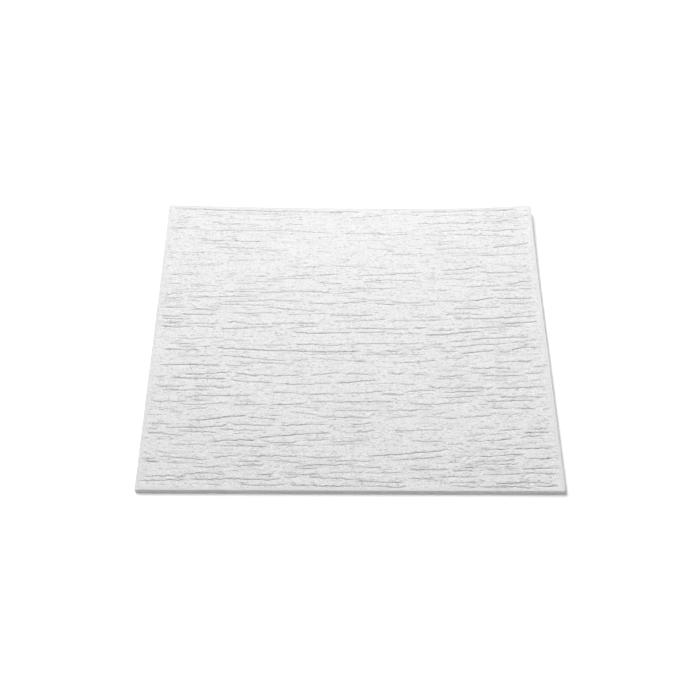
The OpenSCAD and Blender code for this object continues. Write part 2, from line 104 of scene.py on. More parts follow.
back = Vector((
    math.sin(CAMERA_AZIMUTH) * math.cos(CAMERA_ELEVATION),
    -math.cos(CAMERA_AZIMUTH) * math.cos(CAMERA_ELEVATION),
    math.sin(CAMERA_ELEVATION)))
camera_data = bpy.data.cameras.new("camera")
camera_data.sensor_width = SENSOR_WIDTH
camera_data.lens = FOCAL_PIXELS * SENSOR_WIDTH / PHOTO_WIDTH
camera = bpy.data.objects.new("camera", camera_data)
camera.location = AIM + back * CAMERA_DISTANCE
camera.rotation_mode = "QUATERNION"
camera.rotation_quaternion = back.to_track_quat("Z", "Y") @ Quaternion((0, 0, 1), CAMERA_ROLL)
bpy.context.scene.collection.objects.link(camera)
bpy.context.scene.camera = camera
print(f"The lens is {camera_data.lens:.1f} mm long and {CAMERA_DISTANCE} m from the tile.")

# %% [markdown]
# Materials and meshes are both drawn with nodes below. One helper adds a node: keyword
# arguments are its settings, and the dictionary fills its sockets, with a link where the value
# is another node or socket and with a plain number otherwise. Colours are written as the
# sRGB hex values that a paint program shows, and one function turns them to linear light.

# %% Two helpers for nodes and colours
def node(tree, kind, sockets=None, **settings):
    """Adds one node to the tree, with its settings, values and links."""
    made = tree.nodes.new(kind)
    for name, value in settings.items():
        setattr(made, name, value)
    for key, value in (sockets or {}).items():
        if isinstance(value, bpy.types.Node):
            value = value.outputs[0]
        if isinstance(value, bpy.types.NodeSocket):
            tree.links.new(value, made.inputs[key])
        else:
            made.inputs[key].default_value = value
    return made


def linear(hex_colour):
    """Linear RGBA of an sRGB colour such as #F2F1EF."""
    shares = [int(hex_colour[k:k + 2], 16) / 255 for k in (1, 3, 5)]
    return (*[c / 12.92 if c <= 0.04045 else ((c + 0.055) / 1.055) ** 2.4 for c in shares], 1)


# %% [markdown]
# Between the furrows of the face run finer scratches of the same grain: hairlines as long as a
# finger, and short dashes where the skin is torn. Both are drawn by one rule. A noise that is
# drawn out along the furrows passes certain levels along thin lines. A point's distance from
# the level, divided by how far the noise climbs over half a line's width, gives all the lines
# one width. A second noise breaks them into pieces. Each noise is drawn out along the furrows
# by shrinking its x. Sizes are in millimetres, and a noise runs from 0 to 1.

# %% Scratches along the grain
LEVEL_STEP = 0.07
LEAST_CLIMB = 0.003
BREAK_FADE = 0.07
BREAK_START = 300


def scratches(tree, in_mm, spacing, shrink, half_width, piece_size, piece_shrink, piece_from):
    """Thin broken lines along the furrows, of one width, where a noise passes certain levels."""
    comb = [node(tree, "ShaderNodeTexNoise", {
        "Vector": node(tree, "ShaderNodeMapping", {
            "Vector": in_mm, "Location": (0, aside, 0), "Scale": (shrink, 1, 1)}),
        "Scale": 1 / spacing, "Detail": 2, "Roughness": 0.5}) for aside in (0, half_width)]
    climb = node(tree, "ShaderNodeMath", {0: comb[1], 1: comb[0]}, operation="SUBTRACT")
    climb = node(tree, "ShaderNodeMath", {0: climb}, operation="ABSOLUTE")
    climb = node(tree, "ShaderNodeMath", {0: climb, 1: LEAST_CLIMB}, operation="MAXIMUM")
    away = node(tree, "ShaderNodeMath", {0: comb[0], 1: LEVEL_STEP}, operation="PINGPONG")
    away = node(tree, "ShaderNodeMath", {0: away, 1: climb}, operation="DIVIDE")
    lines = node(tree, "ShaderNodeMapRange", {
        "Value": away, "From Min": 0, "From Max": 1, "To Min": 1, "To Max": 0},
        interpolation_type="SMOOTHSTEP")
    drawn_out = node(tree, "ShaderNodeMapping", {
        "Vector": in_mm, "Location": (BREAK_START, 0, 0), "Scale": (piece_shrink, 1, 1)})
    breaks = node(tree, "ShaderNodeTexNoise", {
        "Vector": drawn_out, "Scale": 1 / piece_size, "Detail": 2, "Roughness": 0.5})
    pieces = node(tree, "ShaderNodeMapRange", {
        "Value": breaks.outputs[0], "From Min": piece_from, "From Max": piece_from + BREAK_FADE},
        interpolation_type="SMOOTHSTEP")
    return node(tree, "ShaderNodeMath", {0: lines, 1: pieces}, operation="MULTIPLY")


print(f"A scratch runs wherever its noise passes a multiple of {2 * LEVEL_STEP}.")


# %% [markdown]
# Expanded polystyrene is a closed foam of welded beads. It scatters nearly all the light that
# falls on it, so it is white with hardly any gloss, and the eye reads it by its relief alone.
# The welded beads are cells about 2.5 mm across, each a little higher or lower than the next, and the skin
# over them is crinkled, with bumps about 1.3 mm across. Steam leaves pits where beads don't quite meet,
# drawn out along the furrows by the mould. With the hairlines, 0.8 mm wide, and the dashes, 1.4 mm wide,
# all of these are bumps. The seams between the beads, the pits, the hairlines, the dashes and the furrows
# are also painted greyer: this is painted shade, for the shade that falls into these hollows. The pores of
# the skin are a third of a millimetre wide, which is too fine to show, so their painted shade is drawn as
# grey specks 1.4 mm wide. Along the border the mould presses the foam smoother: there the bumps are weaker
# and one even painted shade mostly takes the place of the specks, seams, pits and scratches. The mesh
# carries the depth of the furrows as an attribute, which paints shade into them. Sizes and heights are in
# millimetres, a height stands for the whole range of its pattern, and a painted shade of 1 is the full
# grey. The fields are the values between which a noise turns from skin into pit, seam or speck.

# %% Sizes, heights and painted shade of the foam
BEAD_SIZE = 2.5
CRINKLE_SIZE = 1.3
PIT_SPACING, PIT_SHRINK = 2.4, 0.45
SPECK_SIZE = 1.4
HAIRLINE = {
    "spacing": 9.0, "shrink": 0.06, "half_width": 0.4,
    "piece_size": 6, "piece_shrink": 0.2, "piece_from": 0.5}
DASH = {
    "spacing": 8.0, "shrink": 0.14, "half_width": 0.7,
    "piece_size": 3, "piece_shrink": 0.4, "piece_from": 0.54}
BEAD_HEIGHT, CRINKLE_HEIGHT = -0.18, 1.2
PIT_HEIGHT, HAIRLINE_HEIGHT, DASH_HEIGHT = -0.30, -0.08, -0.25
# How grey each mark is painted: painted shade, for the shade that falls into the hollows.
SEAM_SHADE, SPECK_SHADE, PIT_SHADE = 0.1, 0.4, 0.35
# The hairlines, the dashes and the furrows are painted grey: painted shade for the shade that falls into
# them.
HAIRLINE_SHADE, DASH_SHADE, FURROW_SHADE = 0.55, 0.8, 0.5
PIT_FIELD, SEAM_FIELD, SPECK_FIELD = (0.39, 0.33), (0.2, 0.7), (0.65, 0.3)
SMOOTH_STRIP, ROUGH_FROM = 3.5, 6
BORDER_BUMP, BORDER_SHADE = 0.35, 0.4
FOAM_WHITE, FOAM_SHADE = "#F0F0F0", "#B6B2B2"
print(f"Hairlines are {2 * HAIRLINE['half_width']} mm wide and dashes {2 * DASH['half_width']} mm.")


# %% The foam
def moulded_polystyrene():
    """Moulded expanded polystyrene: matt white welded beads."""
    material = bpy.data.materials.new("moulded_expanded_polystyrene")
    material.use_nodes = True
    tree = material.node_tree
    tree.nodes.clear()
    place = node(tree, "ShaderNodeTexCoord")
    in_mm = node(tree, "ShaderNodeMapping", {
        "Vector": place.outputs["Object"], "Scale": (1000, 1000, 1000)})

    beads = node(tree, "ShaderNodeTexVoronoi", {
        "Vector": in_mm, "Scale": 1 / BEAD_SIZE}, feature="SMOOTH_F1")
    crinkle = node(tree, "ShaderNodeTexNoise", {
        "Vector": in_mm, "Scale": 1 / (2 * CRINKLE_SIZE), "Detail": 3, "Roughness": 0.6})
    drawn_out = node(tree, "ShaderNodeMapping", {"Vector": in_mm, "Scale": (PIT_SHRINK, 1, 1)})
    pit_field = node(tree, "ShaderNodeTexNoise", {
        "Vector": drawn_out, "Scale": 1 / PIT_SPACING, "Detail": 3, "Roughness": 0.65})
    pits = node(tree, "ShaderNodeMapRange", {
        "Value": pit_field.outputs[0], "From Min": PIT_FIELD[1], "From Max": PIT_FIELD[0],
        "To Min": 1, "To Max": 0}, interpolation_type="SMOOTHSTEP")
    hairlines = scratches(tree, in_mm, **HAIRLINE)
    dashes = scratches(tree, in_mm, **DASH)

    relief = node(tree, "ShaderNodeMath", {
        0: beads.outputs["Distance"], 1: BEAD_HEIGHT}, operation="MULTIPLY")
    for what, height in (
            (crinkle, CRINKLE_HEIGHT), (pits, PIT_HEIGHT),
            (hairlines, HAIRLINE_HEIGHT), (dashes, DASH_HEIGHT)):
        relief = node(tree, "ShaderNodeMath", {0: what, 1: height, 2: relief}, operation="MULTIPLY_ADD")
    place_x_y = node(tree, "ShaderNodeSeparateXYZ", {0: in_mm}).outputs
    across = node(tree, "ShaderNodeMath", {0: place_x_y["X"]}, operation="ABSOLUTE")
    down = node(tree, "ShaderNodeMath", {0: place_x_y["Y"]}, operation="ABSOLUTE")
    outermost = node(tree, "ShaderNodeMath", {0: across, 1: down}, operation="MAXIMUM")
    rough_part = node(tree, "ShaderNodeMapRange", {
        "Value": outermost, "From Min": HALF / MM - ROUGH_FROM, "From Max": HALF / MM - SMOOTH_STRIP,
        "To Min": 1, "To Max": BORDER_BUMP}, interpolation_type="SMOOTHSTEP")
    bump = node(tree, "ShaderNodeBump", {
        "Height": relief, "Distance": 1 * MM, "Strength": rough_part})

    # The furrow attribute paints shade into the furrows, deeper where the furrow is deeper.
    furrow = node(tree, "ShaderNodeAttribute", attribute_name="furrow")
    # Painted shade in the seams between the beads.
    seam_shade = node(tree, "ShaderNodeMapRange", {
        "Value": beads.outputs["Distance"],
        "From Min": SEAM_FIELD[0], "From Max": SEAM_FIELD[1], "To Max": SEAM_SHADE})
    # Grey specks: painted shade of the pores, drawn larger than the pores are.
    speck_shade = node(tree, "ShaderNodeTexNoise", {
        "Vector": in_mm, "Scale": 1 / SPECK_SIZE, "Detail": 2, "Roughness": 0.7})
    speck_shade = node(tree, "ShaderNodeMapRange", {
        "Value": speck_shade.outputs[0],
        "From Min": SPECK_FIELD[0], "From Max": SPECK_FIELD[1], "To Max": SPECK_SHADE})
    shade = node(tree, "ShaderNodeMath", {0: seam_shade, 1: speck_shade}, operation="ADD")
    # Painted shade in the hairlines, the dashes and the pits, for the shade that falls into them.
    for what, painted_shade in ((hairlines, HAIRLINE_SHADE), (dashes, DASH_SHADE), (pits, PIT_SHADE)):
        shade = node(tree, "ShaderNodeMath", {0: what, 1: painted_shade, 2: shade}, operation="MULTIPLY_ADD")
    # Along the border one even painted shade mostly replaces the painted shade of the ground.
    hollow = node(tree, "ShaderNodeMix", {"Factor": rough_part, "A": BORDER_SHADE, "B": shade})
    hollow = node(tree, "ShaderNodeMath", {
        0: furrow.outputs["Fac"], 1: FURROW_SHADE, 2: hollow}, operation="MULTIPLY_ADD", use_clamp=True)
    # The colour goes from the white foam towards the grey of the painted shade.
    colour = node(tree, "ShaderNodeMix", {
        "Factor": hollow, "A": linear(FOAM_WHITE), "B": linear(FOAM_SHADE)}, data_type="RGBA")
    shader = node(tree, "ShaderNodeBsdfPrincipled", {
        "Base Color": colour.outputs["Result"], "Roughness": 0.85, "IOR": 1.45,
        "Specular IOR Level": 0.25, "Normal": bump})
    node(tree, "ShaderNodeOutputMaterial", {"Surface": shader})
    return material


foam = moulded_polystyrene()
print(f"The foam's material has {len(foam.node_tree.nodes)} nodes.")

# %% [markdown]
# The fine tile starts as a flat blank of 200,000 triangles or fewer, and they have to go where
# the shape is. A furrow is 2 mm wide and runs for a hand's length across the tile, so the
# blank has columns 2.9 mm apart and 500 rows, which lie closer together in the furrows than
# between them. To find the furrows, rays are dropped on the solid all the way down each column.
# Where they land deep, the rows are drawn together. The density is taken against its own
# average over 12 mm, so that rows shift only near a furrow. At last the row nearest to each
# furrow's deepest point is moved there, because a V is only crisp if its bottom is a row.

# %% Where the rows and columns of the blank lie
COLUMN_STEP = 2.9 * MM
ROW_COUNT = 500
PROBE_STEP = 0.25 * MM
GATHER = 5.0
GATHER_DEPTH = 0.25 * MM
GATHER_REACH = 12 * MM
LEAST_DENSITY = 0.4
ARC_STEPS = 3

arc_centre = HALF - CORNER_RADIUS
flat_half = HALF - FACE_ROUND


def curl(x, y):
    """How far the foam is lifted above the floor at points of the plan."""
    left = 1 - (HALF + x + HALF - y) / LEFT_REACH
    right = 1 - (HALF - x + HALF - y) / RIGHT_REACH
    return (LEFT_RISE * np.maximum(0, left) ** CURL_POWER
            + RIGHT_RISE * np.maximum(0, right) ** CURL_POWER)


def box_mean(values, width):
    """Running mean down each column, over a number of samples."""
    kernel = np.ones(width) / width
    padded = np.pad(values, ((0, 0), (width, width)), mode="edge")
    return np.array([np.convolve(row, kernel, "same")[width:-width] for row in padded])


def furrow_bottoms(profile):
    """The probes of one column that lie deeper than their neighbours, in a furrow."""
    inner = profile[1:-1]
    return 1 + np.flatnonzero(
        (inner > GATHER_DEPTH) & (inner >= profile[:-2]) & (inner > profile[2:]))


column_count = round(2 * arc_centre / COLUMN_STEP)
inner_x = np.linspace(-arc_centre, arc_centre, column_count + 1)
probe_y = np.arange(-arc_centre, arc_centre + PROBE_STEP / 2, PROBE_STEP)
heights = np.array([[face_height(x, y) for y in probe_y] for x in inner_x])
depths = THICKNESS + curl(inner_x[:, None], probe_y[None, :]) - heights
in_furrow = np.clip(depths / GATHER_DEPTH, 0, 1)
reach = round(GATHER_REACH / PROBE_STEP)
nearby = box_mean(box_mean(in_furrow, reach), reach)
density = np.maximum(LEAST_DENSITY, 1 + GATHER * (in_furrow - nearby))
density = (np.roll(density, 1, axis=0) + 2 * density + np.roll(density, -1, axis=0)) / 4
filled = np.cumsum(density, axis=1)
inner_y = np.array([
    np.interp(np.linspace(row[0], row[-1], ROW_COUNT + 1), row, probe_y) for row in filled])
bottoms = 0
for places, profile in zip(inner_y, depths):
    for bottom in probe_y[furrow_bottoms(profile)]:
        nearest = np.abs(places - bottom).argmin()
        if 0 < nearest < ROW_COUNT:
            places[nearest] = bottom
            bottoms += 1
print(f"Rays found furrows up to {depths.max() / MM:.2f} mm deep. "
      f"Rows lie {np.diff(inner_y).min() / MM:.2f} to {np.diff(inner_y).max() / MM:.2f} mm apart, "
      f"and {bottoms} of their points lie at a furrow's bottom.")

# %% [markdown]
# The outline has small rounded corners, so the outermost rows and columns can't stay straight.
# In each corner, the square that they fill is pressed into a quarter of a disc, by the mapping
# that shortens each point's x by its own y and the other way about.

# %% The face of the blank
rim = np.linspace(arc_centre, flat_half, ARC_STEPS + 1)[1:]
xs = np.concatenate([-rim[::-1], inner_x, rim])
ends = np.repeat([0, column_count], ARC_STEPS)
inner_y = np.vstack([inner_y[ends[:ARC_STEPS]], inner_y, inner_y[ends[ARC_STEPS:]]])
ys = np.hstack([np.tile(-rim[::-1], (len(xs), 1)), inner_y, np.tile(rim, (len(xs), 1))])
grid_x = np.repeat(xs[:, None], ys.shape[1], axis=1)

flat_round = CORNER_RADIUS - FACE_ROUND
over_x = np.maximum(0, np.abs(grid_x) - arc_centre) / flat_round
over_y = np.maximum(0, np.abs(ys) - arc_centre) / flat_round
face_x = np.sign(grid_x) * (
    np.minimum(np.abs(grid_x), arc_centre) + flat_round * over_x * np.sqrt(1 - over_y ** 2 / 2))
face_y = np.sign(ys) * (
    np.minimum(np.abs(ys), arc_centre) + flat_round * over_y * np.sqrt(1 - over_x ** 2 / 2))
columns, rows = face_x.shape
print(f"The face of the blank is {columns} by {rows} vertices.")

# %% [markdown]
# Each cell of the face is cut into two triangles, and it matters which way. Where a furrow steps
# from one row to the next, only one of the two diagonals runs along its bottom, and the other
# one would dam it. So the deeper pair of corners gets the diagonal.

# %% The triangles of the face
index = np.arange(columns * rows).reshape(columns, rows)
found = np.zeros((columns, rows))
for column, places, profile in zip(range(ARC_STEPS, columns), inner_y[ARC_STEPS:-ARC_STEPS], depths):
    found[column, ARC_STEPS:-ARC_STEPS] = np.interp(places, probe_y, profile)
corner_depths = [found[:-1, :-1], found[1:, :-1], found[1:, 1:], found[:-1, 1:]]
cells = np.stack([index[:-1, :-1], index[1:, :-1], index[1:, 1:], index[:-1, 1:]], axis=-1)
rising = corner_depths[0] + corner_depths[2] >= corner_depths[1] + corner_depths[3]
faces = np.concatenate([
    cells[rising][:, [0, 1, 2]], cells[rising][:, [0, 2, 3]],
    cells[~rising][:, [0, 1, 3]], cells[~rising][:, [1, 2, 3]]]).tolist()
print(f"{(~rising).sum()} of {rising.size} cells are cut along their falling diagonal.")

# %% [markdown]
# Round the face the rim turns down in three steps, the side drops to the back, and the lower
# edge is eased a little. Each of these is a ring of vertices pushed out from the arc centres.
# The back needs few triangles: a loose grid of points, enough to follow the curl, is joined to
# the last ring by a Delaunay triangulation.

# %% The blank as a closed mesh
BACK_STEP = 25 * MM
RIM_ANGLES = [math.radians(a) for a in (30, 60, 90)]
EASED = 0.3 * BACK_ROUND

border = np.concatenate([index[:-1, 0], index[-1, :-1], index[:0:-1, -1], index[0, :0:-1]])
points = [np.stack([face_x.ravel(), face_y.ravel(), np.full(face_x.size, THICKNESS)], axis=1)]

edge = points[0][border, :2]
hub = np.clip(edge, -arc_centre, arc_centre)
outward = (edge - hub) / np.linalg.norm(edge - hub, axis=1, keepdims=True)
rings = [(flat_round + FACE_ROUND * math.sin(a), THICKNESS - FACE_ROUND * (1 - math.cos(a)))
         for a in RIM_ANGLES]
rings += [(CORNER_RADIUS, BACK_ROUND), (CORNER_RADIUS - EASED, EASED), (CORNER_RADIUS - BACK_ROUND, 0)]
last = border
for radius, height in rings:
    start = sum(len(p) for p in points)
    ring = start + np.arange(len(border))
    points.append(np.hstack([hub + outward * radius, np.full((len(border), 1), height)]))
    faces += [(a, c, d, b) for a, b, c, d in zip(
        last.tolist(), np.roll(last, -1).tolist(), ring.tolist(), np.roll(ring, -1).tolist())]
    last = ring

loose = np.arange(-arc_centre + BACK_STEP / 2, arc_centre, BACK_STEP)
loose_points = [Vector((x, y)) for x in loose for y in loose]
ring_points = [Vector(p[:2]) for p in points[-1]]
ring_edges = [(k, (k + 1) % len(ring_points)) for k in range(len(ring_points))]
flat, _, triangles, *_ = delaunay_2d_cdt(ring_points + loose_points, ring_edges, [], 1, 1e-7)
start = sum(len(p) for p in points)
points.append(np.array([[p.x, p.y, 0] for p in flat[len(ring_points):]]))
of_back = [*last.tolist(), *range(start, start + len(flat) - len(ring_points))]
faces += [tuple(of_back[k] for k in reversed(t)) for t in triangles]

blank_mesh = bpy.data.meshes.new("blank")
blank_mesh.from_pydata(np.vstack(points).tolist(), [], faces)
blank_mesh.update()
blank = bpy.data.objects.new("blank", blank_mesh)
bpy.context.scene.collection.objects.link(blank)
print(f"The blank has {sum(len(f) - 2 for f in faces)} triangles.")

# %% [markdown]
# A curled corner is one rule used twice: the lift grows with the 1.5th power of the distance past
# the fold, as a sheet lifts when one side of it shrinks. The rule is a small node group of
# its own.

# %% Node group: the lift of one corner
def add_inputs(tree, sizes):
    """Gives a tree its named inputs, each with its kind and its usual value."""
    for name, (kind, value) in sizes.items():
        socket = tree.interface.new_socket(name, in_out="INPUT", socket_type=kind)
        if value is not None:
            socket.default_value = value


def corner_lift_group():
    """Lift of the foam at a point, from its distances across and down from the two edges."""
    tree = bpy.data.node_groups.new("corner lift", "GeometryNodeTree")
    add_inputs(tree, {name: ("NodeSocketFloat", 0.0) for name in ("Across", "Down", "Rise", "Reach")})
    tree.interface.new_socket("Lift", in_out="OUTPUT", socket_type="NodeSocketFloat")
    sizes = node(tree, "NodeGroupInput").outputs
    away = node(tree, "ShaderNodeMath", {0: sizes["Across"], 1: sizes["Down"]}, operation="ADD")
    share = node(tree, "ShaderNodeMath", {0: away, 1: sizes["Reach"]}, operation="DIVIDE")
    past_fold = node(tree, "ShaderNodeMath", {0: 1.0, 1: share}, operation="SUBTRACT", use_clamp=True)
    bent = node(tree, "ShaderNodeMath", {0: past_fold, 1: CURL_POWER}, operation="POWER")
    lift = node(tree, "ShaderNodeMath", {0: bent, 1: sizes["Rise"]}, operation="MULTIPLY")
    node(tree, "NodeGroupOutput", {"Lift": lift})
    return tree


corner_lift = corner_lift_group()
print(f"The curl is a group of {len(corner_lift.nodes)} nodes.")

# %% [markdown]
# The tree that makes the tile drops a ray from each vertex of the blank onto the solid. How far
# the ray lands below the level of the face is the depth of the furrow there. A slight blur takes
# the steps off the V, and the difference from a wide blur raises a low lip along each furrow,
# where the mould pushed the beads aside. A slow swell keeps the ground between them from being
# flat. The vertices also move aside a little, some up and some down the tile, so the furrows
# come out ragged, as in foam. The relief dies away before the rim, and the corners curl. At the
# end the edges that turn by more than 15 degrees are kept keen, because smooth shading across
# the bottom of a V would round it off.

# %% Node tree: the furrowed tile
WAVER_SQUEEZE, SWELL_SQUEEZE = 0.5, 4.0
NOISE_LOW, NOISE_HIGH = 0.25, 0.75
HAIR = 0.01 * MM


def slow_noise(tree, spot, squeeze, length, seed):
    """Noise with bumps of a length along the furrows, squeezed that many times across them."""
    squeezed = node(tree, "ShaderNodeVectorMath", {0: spot, 1: (1.0, squeeze, 1.0)}, operation="MULTIPLY")
    per_length = node(tree, "ShaderNodeMath", {0: 1.0, 1: length}, operation="DIVIDE")
    scaled = node(tree, "ShaderNodeVectorMath", {0: squeezed, "Scale": per_length}, operation="SCALE")
    return node(tree, "ShaderNodeTexNoise", {
        "Vector": scaled, "W": seed, "Scale": 1.0, "Detail": 2.0}, noise_dimensions="4D")


def furrowed_tile_tree():
    """Presses the solid's furrows into a flat blank, roughens it and curls its corners."""
    tree = bpy.data.node_groups.new("furrowed tile", "GeometryNodeTree")
    tree.interface.new_socket("Geometry", in_out="INPUT", socket_type="NodeSocketGeometry")
    add_inputs(tree, {
        "Solid": ("NodeSocketObject", None),
        "Half Side": ("NodeSocketFloat", HALF),
        "Thickness": ("NodeSocketFloat", THICKNESS),
        "Left Rise": ("NodeSocketFloat", LEFT_RISE),
        "Left Reach": ("NodeSocketFloat", LEFT_REACH),
        "Right Rise": ("NodeSocketFloat", RIGHT_RISE),
        "Right Reach": ("NodeSocketFloat", RIGHT_REACH),
        "Waver": ("NodeSocketFloat", 1.3 * MM),
        "Waver Length": ("NodeSocketFloat", 7 * MM),
        "Lip": ("NodeSocketFloat", 0.1),
        "Swell": ("NodeSocketFloat", 0.1 * MM),
        "Swell Length": ("NodeSocketFloat", 30 * MM),
        "Plain Border": ("NodeSocketFloat", 2 * MM),
        "Full Depth": ("NodeSocketFloat", FURROW_DEPTH),
        "Keen Edge": ("NodeSocketFloat", math.radians(15)),
        "Seed": ("NodeSocketFloat", 7.0),
        "Material": ("NodeSocketMaterial", None),
    })
    tree.interface.new_socket("Geometry", in_out="OUTPUT", socket_type="NodeSocketGeometry")
    sizes = node(tree, "NodeGroupInput").outputs
    spot = node(tree, "GeometryNodeInputPosition")
    along = node(tree, "ShaderNodeSeparateXYZ", {0: spot}).outputs

    from_left = node(tree, "ShaderNodeMath", {0: sizes["Half Side"], 1: along["X"]}, operation="ADD")
    from_right = node(tree, "ShaderNodeMath", {0: sizes["Half Side"], 1: along["X"]}, operation="SUBTRACT")
    from_far = node(tree, "ShaderNodeMath", {0: sizes["Half Side"], 1: along["Y"]}, operation="SUBTRACT")
    from_near = node(tree, "ShaderNodeMath", {0: sizes["Half Side"], 1: along["Y"]}, operation="ADD")
    left = node(tree, "GeometryNodeGroup", node_tree=corner_lift)
    right = node(tree, "GeometryNodeGroup", node_tree=corner_lift)
    for corner, across, side in ((left, from_left, "Left"), (right, from_right, "Right")):
        tree.links.new(across.outputs[0], corner.inputs["Across"])
        tree.links.new(from_far.outputs[0], corner.inputs["Down"])
        tree.links.new(sizes[f"{side} Rise"], corner.inputs["Rise"])
        tree.links.new(sizes[f"{side} Reach"], corner.inputs["Reach"])
    lift = node(tree, "ShaderNodeMath", {0: left, 1: right}, operation="ADD")
    level = node(tree, "ShaderNodeMath", {0: sizes["Thickness"], 1: lift}, operation="ADD")

    waver_noise = slow_noise(tree, spot, WAVER_SQUEEZE, sizes["Waver Length"], sizes["Seed"])
    other_way = node(tree, "ShaderNodeMath", {0: sizes["Waver"], 1: -1.0}, operation="MULTIPLY")
    waver = node(tree, "ShaderNodeMapRange", {
        "Value": waver_noise, "From Min": NOISE_LOW, "From Max": NOISE_HIGH,
        "To Min": other_way, "To Max": sizes["Waver"]})
    above = node(tree, "ShaderNodeCombineXYZ", {"X": along["X"], "Y": along["Y"], "Z": HIGH})
    target = node(tree, "GeometryNodeObjectInfo", {"Object": sizes["Solid"]}, transform_space="ORIGINAL")
    ray = node(tree, "GeometryNodeRaycast", {
        "Target Geometry": target.outputs["Geometry"], "Source Position": above,
        "Ray Direction": (0, 0, -1), "Ray Length": 2 * HIGH})
    landing = node(tree, "ShaderNodeSeparateXYZ", {0: ray.outputs["Hit Position"]}).outputs["Z"]
    depth = node(tree, "ShaderNodeMath", {0: landing, 1: level}, operation="SUBTRACT")
    depth = node(tree, "ShaderNodeMath", {0: depth, 1: 0.0}, operation="MINIMUM")

    soft = node(tree, "GeometryNodeBlurAttribute", {
        "Value": depth, "Iterations": 1, "Weight": 0.1}, data_type="FLOAT")
    wide = node(tree, "GeometryNodeBlurAttribute", {
        "Value": depth, "Iterations": 6, "Weight": 1.0}, data_type="FLOAT")
    lip = node(tree, "ShaderNodeMath", {0: soft, 1: wide}, operation="SUBTRACT")
    furrowed = node(tree, "ShaderNodeMath", {0: lip, 1: sizes["Lip"], 2: soft}, operation="MULTIPLY_ADD")

    swell_noise = slow_noise(tree, spot, SWELL_SQUEEZE, sizes["Swell Length"], sizes["Seed"])
    swell = node(tree, "ShaderNodeMath", {0: swell_noise, 1: NOISE_HIGH}, operation="SUBTRACT")
    swell = node(tree, "ShaderNodeMath", {0: swell, 1: 0.0}, operation="MINIMUM")
    relief = node(tree, "ShaderNodeMath", {
        0: swell, 1: sizes["Swell"], 2: furrowed}, operation="MULTIPLY_ADD")

    beside = node(tree, "ShaderNodeMath", {0: from_left, 1: from_right}, operation="MINIMUM")
    before = node(tree, "ShaderNodeMath", {0: from_near, 1: from_far}, operation="MINIMUM")
    inside = node(tree, "ShaderNodeMath", {0: beside, 1: before}, operation="MINIMUM")
    full = node(tree, "ShaderNodeMath", {0: sizes["Plain Border"], 1: 3.0}, operation="MULTIPLY")
    share = node(tree, "ShaderNodeMapRange", {
        "Value": inside, "From Min": sizes["Plain Border"], "From Max": full},
        interpolation_type="SMOOTHSTEP")
    on_face = node(tree, "FunctionNodeCompare", {
        0: along["Z"], 1: THICKNESS - HAIR}, data_type="FLOAT", operation="GREATER_THAN")
    share = node(tree, "ShaderNodeMath", {0: share, 1: on_face}, operation="MULTIPLY")
    drop = node(tree, "ShaderNodeMath", {0: relief, 1: share, 2: lift}, operation="MULTIPLY_ADD")
    aside = node(tree, "ShaderNodeMath", {0: waver, 1: share}, operation="MULTIPLY")
    shift = node(tree, "ShaderNodeCombineXYZ", {"Y": aside, "Z": drop})

    # The furrow's share of its full depth is kept as an attribute, by which the foam paints shade into the
    # furrow.
    hollow = node(tree, "ShaderNodeMath", {0: soft, 1: sizes["Full Depth"]}, operation="DIVIDE")
    hollow = node(tree, "ShaderNodeMath", {0: hollow, 1: -1.0}, operation="MULTIPLY", use_clamp=True)
    hollow = node(tree, "ShaderNodeMath", {0: hollow, 1: share}, operation="MULTIPLY")
    marked = node(tree, "GeometryNodeStoreNamedAttribute", {
        "Geometry": sizes["Geometry"], "Name": "furrow", "Value": hollow},
        data_type="FLOAT", domain="POINT")
    moulded = node(tree, "GeometryNodeSetPosition", {"Geometry": marked, "Offset": shift})
    smooth = node(tree, "GeometryNodeSetShadeSmooth", {"Geometry": moulded})
    turn = node(tree, "GeometryNodeInputMeshEdgeAngle").outputs["Unsigned Angle"]
    keen = node(tree, "FunctionNodeCompare", {
        0: turn, 1: sizes["Keen Edge"]}, data_type="FLOAT", operation="GREATER_THAN")
    keen_edges = node(tree, "GeometryNodeSetShadeSmooth", {
        "Geometry": smooth, "Selection": keen, "Shade Smooth": False}, domain="EDGE")
    real = node(tree, "GeometryNodeRealizeInstances", {"Geometry": keen_edges})
    foamed = node(tree, "GeometryNodeSetMaterial", {"Geometry": real, "Material": sizes["Material"]})
    node(tree, "NodeGroupOutput", {"Geometry": foamed})
    return tree


tile_tree = furrowed_tile_tree()
print(f"The tile's tree has {len(tile_tree.nodes)} nodes.")

# %% [markdown]
# The modifier is given the solid and the foam by the identifiers of its sockets. Then its
# result becomes a plain mesh at the origin, which replaces the solid in the picture.

# %% Mould the tile
modifier = blank.modifiers.new("furrowed tile", "NODES")
modifier.node_group = tile_tree
for socket in tile_tree.interface.items_tree:
    if socket.item_type == "SOCKET" and socket.in_out == "INPUT":
        if socket.name == "Solid":
            modifier[socket.identifier] = solid
        if socket.name == "Material":
            modifier[socket.identifier] = foam

moulded = blank.evaluated_get(bpy.context.evaluated_depsgraph_get())
tile = bpy.data.objects.new("moulded_tile", bpy.data.meshes.new_from_object(moulded))
tile.data.name = "moulded_tile"
bpy.context.scene.collection.objects.link(tile)
bpy.data.objects.remove(blank)
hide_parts("tile")
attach(tile, "root")
print(f"The moulded tile has {len(tile.data.polygons)} faces.")

# %% [markdown]
# The tile lies on white paper that is lit until it is nearly featureless. A lamp lights only
# the middle of a large sheet, and the rest would fade to grey in a low view. So the paper has
# a glow of its own, weak beside the tile and full two metres away, where it can't reach the
# tile's sides any more.

# %% The floor
FLOOR_HALF = 40.0
GLOW_BESIDE, GLOW_FAR = 0.27, 1.0
GLOW_FROM, GLOW_TO = 0.6, 2.0

